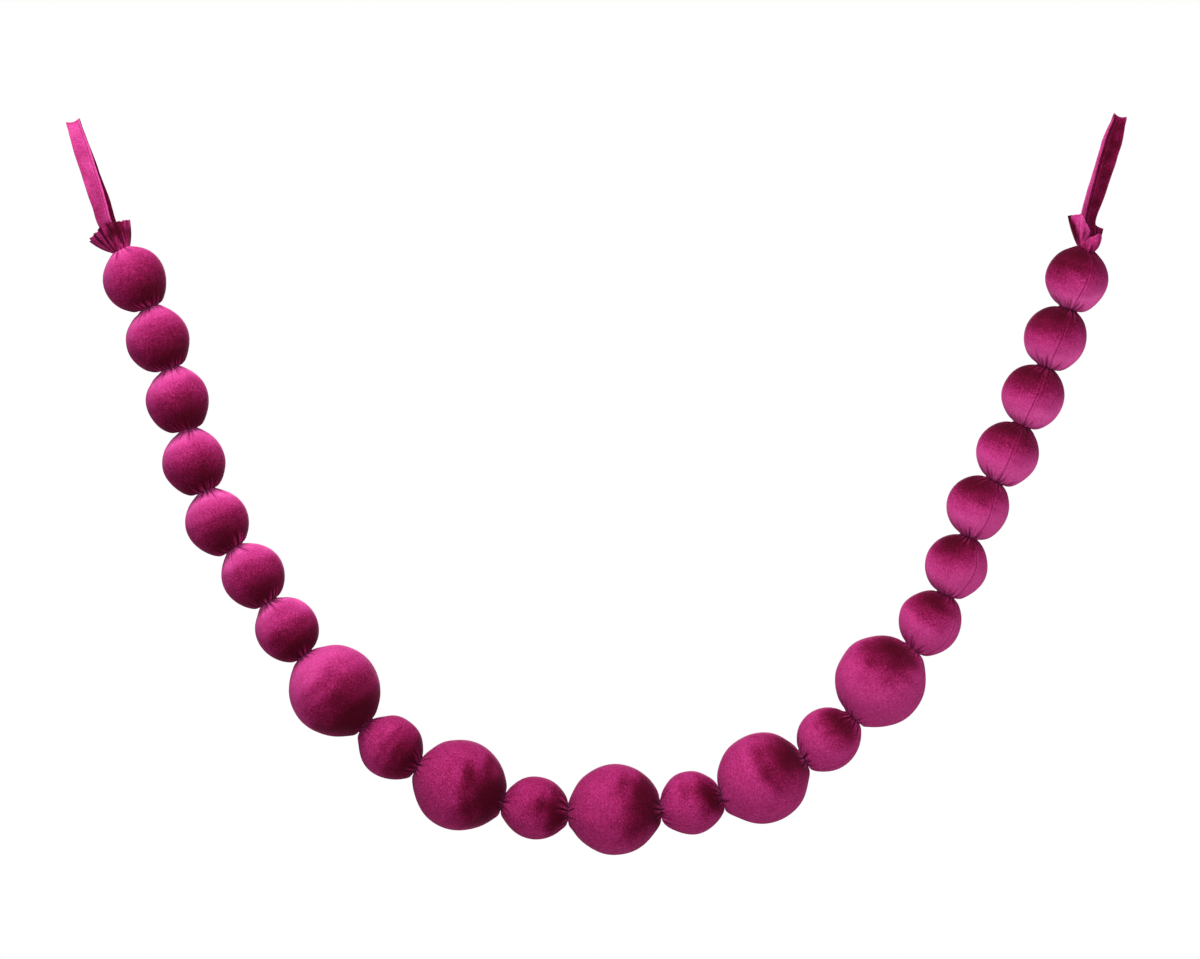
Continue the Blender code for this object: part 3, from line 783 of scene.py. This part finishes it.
def frill_cloth(folds, creases, creased, reach_side, columns, seed):
    """The middle of a frill's cloth from pinch to rim, with how grooved (for its painted shade), how far out
    and how pale (its painted sheen) it is.

    In each half plane through the axis the cloth follows a curve with one control point, from its first
    direction to its tip. The grooves between the folds, creased times the creases of the pinch, and small
    tucks then push it in, square to that curve, and each fold leans over its groove. The cut edge is slightly
    ragged.
    """
    chance = np.random.default_rng(seed)
    (place, twist, opens, lean), reach, early, groove, pale = round_rim(folds, columns)
    count = len(place)
    share = np.linspace(0, 1, FRILL_ROWS)[:, None]
    teeth = chance.normal(0, RAGGED_EDGE, count // TOOTH_COLUMNS)
    teeth = np.append(teeth, teeth[0])
    reach = reach * (1 + np.interp(np.arange(count) / TOOTH_COLUMNS, np.arange(len(teeth)), teeth))
    early_out, early_up = early * reach * np.sin(opens), early * reach * np.cos(opens)
    tip_out, tip_up = reach * np.sin(lean), reach * np.cos(lean)
    out = PINCH_RADIUS - FRILL_CLOTH / 2 + 2 * (1 - share) * share * early_out + share**2 * tip_out
    up = 2 * (1 - share) * share * early_up + share**2 * tip_up
    slope_out = 2 * (1 - 2 * share) * early_out + 2 * share * tip_out
    slope_up = 2 * (1 - 2 * share) * early_up + 2 * share * tip_up
    length = np.hypot(slope_out, slope_up)
    grown = 1 - (1 - share) ** 2
    turn = -np.broadcast_to(place, out.shape)
    sink, crease, _ = gathered(creases, reach_side, turn, CREASE_PACE * share * reach, out)
    small = small_tucks(chance, place, share, out)
    pushed = groove * grown + creased * sink + small
    square = np.clip(share / SQUARE_SHARE, 0, 1)
    out = out - pushed * (slope_up / length * square + 1 - square)
    up = up + pushed * slope_out / length * square
    leaning = FOLD_LEAN * np.sin(math.tau * (groove / groove.max())) * share
    place = place + leaning + twist * share**1.5
    points = np.stack([out * np.sin(place), -out * np.cos(place), up], axis=-1)
    grooved = groove / FULL_FOLD_GROOVE * grown + creased * crease + small / FULL_SMALL_TUCK
    return points, grooved, np.broadcast_to(share, out.shape), np.broadcast_to(pale, out.shape)


def thick_cloth(middle):
    """Both faces of a cloth that closes round its columns: half a cloth each way from its middle."""
    beside = np.roll(middle, -1, axis=1) - np.roll(middle, 1, axis=1)
    ahead = np.gradient(middle, axis=0)
    normal = np.cross(beside, ahead)
    normal /= np.linalg.norm(normal, axis=-1)[..., None]
    return middle + normal * FRILL_CLOTH / 2, middle - normal * FRILL_CLOTH / 2


def painted_shade_patch_on(points, pinch, patch):
    """How much painted shade darkens the pile in a tilted oval on the front, flat-topped lengthwise."""
    x, z, tilt, half_length, half_width, amount = patch
    off_x, off_z, tilt = points[..., 0] - pinch[0] - x, points[..., 2] - pinch[2] - z, math.radians(tilt)
    along = (off_z * math.cos(tilt) + off_x * math.sin(tilt)) / half_length
    beside = (off_x * math.cos(tilt) - off_z * math.sin(tilt)) / half_width
    return amount * np.exp(-(along**4) - beside**2) * (points[..., 1] < 0.0)


def make_frill(
    node, pinch, axis, creases, reach_side, creased, folds, columns, drift, seed, painted_shade_patch
):
    """The cup of cloth round its axis: up the outer face, over the cut edge and down the inner one.

    It drifts sideways by a share of its height.
    """
    middle, grooved, share, pale = frill_cloth(folds, creases, creased, reach_side, columns, seed)
    outer, inner = thick_cloth(middle)
    outer[0, :, 2] = 0.0
    kept = share[:, 0] >= FRILL_FLOOR_SHARE
    edge = middle[-1:] + (middle[-1:] - middle[-2:-1]) * EDGE_STEP
    grid = np.concatenate([outer, edge, inner[kept][::-1]])
    grid[..., 0] += drift * grid[..., 2]
    turned = np.stack([np.array([axis[2], 0.0, -axis[0]]), np.array([0.0, 1.0, 0.0]), axis])
    points = grid @ turned + pinch
    floor_height = middle[kept][0, :, 2].mean() - FRILL_DIMPLE
    ends = np.array([[0.0, 0.0, 0.0], [0.0, 0.0, floor_height]]) @ turned + pinch

    both = np.concatenate([grooved, grooved[-1:], grooved[kept][::-1]])
    # The painted sheen of each fold, and a painted highlight along the cut edge.
    paleness = np.concatenate([pale, pale[-1:] + EDGE_HIGHLIGHT, pale[kept][::-1]])
    on_edge, in_cup = np.full_like(share[-1:], EDGE_WRONG_SIDE), np.full_like(share[kept], CUP_WRONG_SIDE)
    wrong_side = np.concatenate([np.zeros_like(share), on_edge, in_cup])
    # Painted shade that deepens down the inside of the cup.
    cup_depth_shade = np.concatenate([0 * share, 0 * share[-1:], 1 - share[kept][::-1]])
    clouds = soft_waves(points, FRILL_CLOUD_LENGTH, seed + 10)
    # The pile's painted sheen on each fold, with clouds, less painted shade in the grooves and in the shade
    # patch.
    painted_sheen = paleness + FRILL_CLOUDS * clouds - FOLD_SHADE_AMOUNT * both - painted_shade_patch_on(points, pinch, painted_shade_patch)

    piece = add_surface("velvet_" + node, points, ends)
    set_value(piece, "painted_sheen", np.clip(painted_sheen, 0, PALEST_PAINTED_SHEEN), 0.0)
    # Painted shade in the fold grooves and down the inside of the cup.
    set_value(piece, "crease", np.clip(FOLD_SHADE_MIX * both + cup_depth_shade, 0, 1), 1.0)
    set_value(piece, "inside", wrong_side, 1.0)
    piece.data.materials.append(tube_velvet)
    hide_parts(node)
    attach(piece, "root")


# The painted shade patch is where painted shade makes the pile look deeper: its place right of and above the
# pinch, its tilt in degrees, half its length and width, and how much.
# A patch of painted shade and shadow on the front of each frill.
make_frill(
    "frill_left", pinches[0], -ways[0], gathers(0), "before", creased=1.0,
    folds=LEFT_FOLDS, columns=26, drift=0.0, seed=51,
    painted_shade_patch=(-0.006, 0.022, 0, 0.009, 0.008, 0.60),
)
make_frill(
    "frill_right", pinches[-1], ways[-1], gathers(len(BALLS)), "after", creased=0.4,
    folds=RIGHT_FOLDS, columns=22, drift=-0.12, seed=52,
    painted_shade_patch=(-0.0108, 0.0155, -19, 0.015, 0.0026, 1.00),
)

# ------------------------------------------------------------------------------------------------------------
# The two hanging loops. Each is a velvet strap sewn as a flat tube, with its seam near one edge, folded
# over the hook and caught with both ends in the gathers of the frill. Its pile runs one way along the
# strap, so the leg that comes back down looks deep where the other looks pale: painted shade and painted
# sheen in its colour.
# ------------------------------------------------------------------------------------------------------------

# Stations down each pair of legs, in millimetres from the inside of the crown: how far down, how far
# across, half the gap between the legs, their turn about upright in degrees, and the strap's width.
LEFT_STATIONS = (
    (4.5, 0.0, 5.5, 0, 14.0),
    (24, 0.3, 5.8, 0, 16.2),
    (46, 1.2, 5.6, -5, 16.4),
    (67, 2.0, 5.0, -12, 16.6),
    (86, 2.8, 4.3, -23, 16.8),
    (106, 3.0, 3.6, -28, 16.2),
)
RIGHT_STATIONS = (
    (4.5, -0.8, 5.5, 8, 13.0),
    (18, -1.0, 6.0, 9, 16.6),
    (40, -1.1, 6.0, 10, 17.2),
    (62, -1.4, 5.3, 14, 16.2),
    (82, -1.8, 4.4, 24, 15.4),
    (105, -1.7, 3.4, 35, 13.6),
)
STRAP_THICKNESS = 0.002
STRAP_END_APART = 1.6  # in millimetres, as the stations are
STRAP_END_WIDTH = 11.0
STRAP_END_LENGTH = 0.006
STRAP_END_HEIGHT = 0.0056  # over the pinch
CROWN_RADIUS = 0.0055
CROWN_CURL = 0.0022
STRAP_SPAN_STEPS = 16
CROWN_STEPS = 26
STRAP_SECTION_POINTS = 68
FACE_SINK = 0.22  # how far the faces sink between the rolled edges, as a share of half the thickness
STRAP_SEAM_WIDTH, STRAP_LIP_WIDTH = 0.05, 0.06  # in half widths of the strap, as the seam's place is
STRAP_LIP_PLACE = 0.86  # of the lip beside the seam, as a share of the seam's place
STRAP_SEAM_DEPTH, STRAP_LIP_HEIGHT = 0.35, 0.12  # as shares of half the thickness
# Painted shade in the seam and a painted highlight on its lip, taken off and added to the pile's painted
# sheen.
STRAP_SEAM_SHADE_AMOUNT, STRAP_LIP_HIGHLIGHT = 0.35, 0.25  # what they take off the lay, and add to it
# How much painted crease shade the seam gets.
STRAP_SEAM_SHADE_MIX = 0.4

# Waves in the strap's thickness, in its width and in the painted sheen of its pile: how strong, as shares of
# half the thickness, half the width and the whole range of that painted sheen, and how long.
STRAP_WAVES, STRAP_WAVE_LENGTH = 0.10, 0.03
EDGE_WAVES, EDGE_WAVE_LENGTH = 0.012, 0.02
STRAP_CLOUDS, STRAP_CLOUD_LENGTH = 0.05, 0.016
BACK_LEG_FROM = 0.53  # the share of the way along the strap at which the back leg's pile takes over
LEG_CHANGE = 0.06  # the share over which it does


def smooth_stations(stations):
    """A smooth curve through the stations, whose slope at each is that between its neighbours."""
    table = np.array(stations, float)
    slope = np.gradient(table, table[:, 0], axis=0)
    span = np.diff(table[:, 0])[:, None, None]
    t = (np.arange(STRAP_SPAN_STEPS) / STRAP_SPAN_STEPS)[None, :, None]
    start = (2 * t**3 - 3 * t**2 + 1) * table[:-1, None] + (t**3 - 2 * t**2 + t) * span * slope[:-1, None]
    end = (3 * t**2 - 2 * t**3) * table[1:, None] + (t**3 - t**2) * span * slope[1:, None]
    return np.vstack([(start + end).reshape(-1, table.shape[1]), table[-1:]])


def leg(table, side):
    """The middle of the strap down one leg, its directions across and outwards, its width and its curl."""
    down, across, apart, turn, width = table.T
    slant = np.arctan(np.gradient(across, down))
    turn, nothing = np.radians(turn), np.zeros_like(down)
    width_way = np.column_stack([np.cos(turn) * np.cos(slant), np.sin(turn), np.cos(turn) * np.sin(slant)])
    out_way = np.column_stack([-np.sin(turn), np.cos(turn), nothing]) * side
    middle = np.column_stack([across, nothing, -down]) / 1000 + out_way * apart[:, None] / 1000
    return middle, width_way, out_way, width / 1000, nothing


def crown(station):
    """The half turn over the hook, from the front leg to the back one, whose edges curl up."""
    down, across, _, turn, width = station
    turn = math.radians(turn)
    swing = math.pi * np.arange(1, CROWN_STEPS) / CROWN_STEPS
    back_way = np.array([-math.sin(turn), math.cos(turn), 0.0])
    out_way = -np.cos(swing)[:, None] * back_way
    out_way[:, 2] += np.sin(swing)
    width_way = np.tile([math.cos(turn), math.sin(turn), 0.0], (len(swing), 1))
    middle = np.array([across, 0.0, -down]) / 1000 + out_way * CROWN_RADIUS
    return middle, width_way, out_way, np.full(len(swing), width / 1000), CROWN_CURL * np.sin(swing) ** 2


def strap_section():
    """A flat tube's section, once round: places across from -1 to 1 and heights from -1 to 1.

    The two sewn edges are rolls, and the faces between them sink slightly.
    """
    swing = math.tau * np.arange(STRAP_SECTION_POINTS) / STRAP_SECTION_POINTS
    across = np.sign(np.cos(swing)) * (1 - (1 - np.abs(np.cos(swing))) ** 1.6)
    height = np.sin(swing)
    height = np.sign(height) * np.abs(height) ** 0.45 * (1 - FACE_SINK * (1 - np.abs(across) ** 3))
    return across, height


def make_loop(node, stations, top, lean, pinch, axis, seam_place, seed, painted_sheen_at):
    """One strap swept up the front leg, over the crown and down the back one."""
    lean = math.radians(lean)
    sideways = np.array([math.cos(lean), 0.0, -math.sin(lean)])
    upright = np.array([math.sin(lean), 0.0, math.cos(lean)])
    strap_ends = []
    for height in (STRAP_END_LENGTH, 0.0):
        place = (pinch + axis * (STRAP_END_HEIGHT + height) - top) * 1000
        strap_ends.append(
            (-place @ upright, place @ sideways, STRAP_END_APART, stations[-1][3] / 2, STRAP_END_WIDTH)
        )
    table = smooth_stations(stations + tuple(strap_ends))
    parts = [[row[::-1] for row in leg(table, -1)], crown(stations[0]), leg(table, 1)]
    middle, width_way, out_way, width, curl = [np.concatenate(part) for part in zip(*parts)]

    section_across, height = strap_section()
    steps = np.linalg.norm(np.diff(middle, axis=0), axis=1)
    run, across = np.meshgrid(np.append(0, np.cumsum(steps)), section_across, indexing="ij")
    outer_face = np.broadcast_to(height > 0, across.shape)
    seam = bell(across - seam_place, STRAP_SEAM_WIDTH) * outer_face
    lip = bell(across - seam_place * STRAP_LIP_PLACE, STRAP_LIP_WIDTH) * outer_face
    wave = soft_waves(np.stack([run, 0.006 * across, 0 * run], -1), STRAP_WAVE_LENGTH, seed)
    sewn = height * (1 - STRAP_SEAM_DEPTH * seam + STRAP_LIP_HEIGHT * lip)
    thick = STRAP_THICKNESS / 2 * (sewn + STRAP_WAVES * wave * np.abs(height))
    edge_wave = soft_waves(np.stack([run, 0 * run, 0 * run], -1), EDGE_WAVE_LENGTH, seed + 1)
    half = width[:, None] / 2 * (1 + EDGE_WAVES * edge_wave)
    rise = thick + curl[:, None] * across**2
    aside = half * across
    local = middle[:, None] + width_way[:, None] * aside[..., None] + out_way[:, None] * rise[..., None]
    points = local @ np.stack([sideways, np.array([0.0, 1.0, 0.0]), upright]) + top

    share = run / run[-1, 0]
    # The strap's painted sheen and shade along its legs.
    painted_sheen = painted_sheen_at(share, across, outer_face) + STRAP_CLOUDS * soft_waves(points, STRAP_CLOUD_LENGTH, seed + 2)
    # Painted highlight on the lip beside the seam, and painted shade in it.
    painted_sheen += STRAP_LIP_HIGHLIGHT * lip - STRAP_SEAM_SHADE_AMOUNT * seam
    piece = add_surface("velvet_" + node, points, np.array([points[0].mean(0), points[-1].mean(0)]))
    set_value(piece, "painted_sheen", np.clip(painted_sheen, 0, 1), 0.3)
    # Painted shade in the seam and at the strap's ends in the gathers.
    set_value(piece, "crease", STRAP_SEAM_SHADE_MIX * seam, 0.6)
    set_value(piece, "inside", np.zeros_like(share), 0.0)
    piece.data.materials.append(tube_velvet)
    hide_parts(node)
    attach(piece, "root")


def by_leg(share, front_leg, back_leg):
    """A value that changes from the front leg's to the back leg's just past the crown."""
    front = np.clip((BACK_LEG_FROM - share) / LEG_CHANGE, 0, 1)
    return front * front_leg + (1 - front) * back_leg


def left_loop_painted_sheen(share, across, outer):
    """Painted sheen on the front of the front leg, more so towards the crown and with a painted highlight
    along its edge, and painted shade on the back leg and the front leg's inner face.
    """
    face = 0.66 + 0.60 * share + 0.45 * bell(across - 0.88, 0.14)
    return by_leg(share, np.where(outer, face, 0.25), np.where(outer, 0.25, 0.12))


def right_loop_painted_sheen(share, across, outer):
    """Painted shade on the front of the front leg, with a faint painted highlight along its edge, and painted
    sheen on the back leg, most on its inside, which shows beside it.
    """
    face = 0.16 + 0.20 * bell(across - 0.95, 0.15)
    return by_leg(share, np.where(outer, face, 0.5), np.where(outer, 0.75, 0.95))


left_top, right_top = (np.array(mount["pos_m"], float) for mount in frame["record"]["mounts"])
make_loop(
    "loop_left", LEFT_STATIONS, left_top, -17.0, pinches[0], -ways[0], seam_place=0.70, seed=81,
    painted_sheen_at=left_loop_painted_sheen,
)
make_loop(
    "loop_right", RIGHT_STATIONS, right_top, 16.7, pinches[-1], ways[-1], seam_place=-0.74, seed=91,
    painted_sheen_at=right_loop_painted_sheen,
)

# ------------------------------------------------------------------------------------------------------------
# The studio: a pale floor well below the garland, a white room round it, a broad lamp in front, one
# overhead and to the left, and weaker ones at the right and behind. The camera is level with the middle of
# the garland and far off, so that the balls stay round.
# ------------------------------------------------------------------------------------------------------------

low, high = cad_box
middle = (low + high) / 2

FLOOR_DROP = 0.70
FLOOR_CORNERS = ((-3.5, -4.5), (4.5, -4.5), (4.5, 2.6), (-3.5, 2.6))
FLOOR_COLOUR = (0.52, 0.52, 0.52, 1.0)
floor_mesh = bpy.data.meshes.new("floor")
floor_mesh.from_pydata([(x, y, low.z - FLOOR_DROP) for x, y in FLOOR_CORNERS], [], [(0, 1, 2, 3)])
floor = bpy.data.objects.new("floor", floor_mesh)
bpy.context.scene.collection.objects.link(floor)
floor_paint = bpy.data.materials.new("floor_paint")
floor_paint.use_nodes = True
floor_shader = floor_paint.node_tree.nodes["Principled BSDF"]
floor_shader.inputs["Base Color"].default_value = FLOOR_COLOUR
floor_shader.inputs["Roughness"].default_value = 0.9
floor_mesh.materials.append(floor_paint)

# The room looks white to the camera, and lights the garland by ROOM_LIGHT.
ROOM_LIGHT = 0.32
world = bpy.data.worlds.new("white_room")
bpy.context.scene.world = world
world.use_nodes = True
room = world.node_tree.nodes["Background"]
room.inputs["Color"].default_value = (1.0, 1.0, 1.0, 1.0)
seen = world.node_tree.nodes.new("ShaderNodeLightPath")
level = world.node_tree.nodes.new("ShaderNodeMapRange")
level.inputs["To Min"].default_value = ROOM_LIGHT
level.inputs["To Max"].default_value = 1.0
world.node_tree.links.new(seen.outputs["Is Camera Ray"], level.inputs["Value"])
world.node_tree.links.new(level.outputs["Result"], room.inputs["Strength"])

# The lamps: their places from the middle of the garland, their sides and their powers in watts.
LAMPS = (
    ("overhead", (-0.50, -1.3, 2.3), 1.5, 150.0),
    ("front", (0.0, -3.2, 0.3), 2.2, 103.0),
    ("right_side", (3.2, 1.0, -0.3), 1.6, 44.0),
    ("behind", (0.2, 3.4, 0.5), 1.6, 120.0),
)


def add_lamp(name, place, size, power):
    """A square area lamp that faces the middle of the garland."""
    lamp = bpy.data.lights.new(name, "AREA")
    lamp.shape = "SQUARE"
    lamp.size = size
    lamp.energy = power
    made = bpy.data.objects.new(name, lamp)
    bpy.context.scene.collection.objects.link(made)
    made.location = middle + Vector(place)
    made.rotation_euler = (middle - made.location).to_track_quat("-Z", "Y").to_euler()


for lamp_row in LAMPS:
    add_lamp(*lamp_row)

CAMERA_DISTANCE = 6.0
VIEW_WIDTH = 1.2
AIM = (0.0037, 0.0, 0.0042)  # how far right of and above the middle the camera aims
camera_data = bpy.data.cameras.new("camera")
camera_data.sensor_width = 36.0
camera_data.lens = camera_data.sensor_width * CAMERA_DISTANCE / VIEW_WIDTH
camera = bpy.data.objects.new("camera", camera_data)
bpy.context.scene.collection.objects.link(camera)
camera.location = middle + Vector(AIM) - Vector((0.0, CAMERA_DISTANCE, 0.0))
camera.rotation_euler = (math.pi / 2, 0.0, 0.0)
bpy.context.scene.camera = camera
bpy.context.scene.view_settings.view_transform = "Standard"
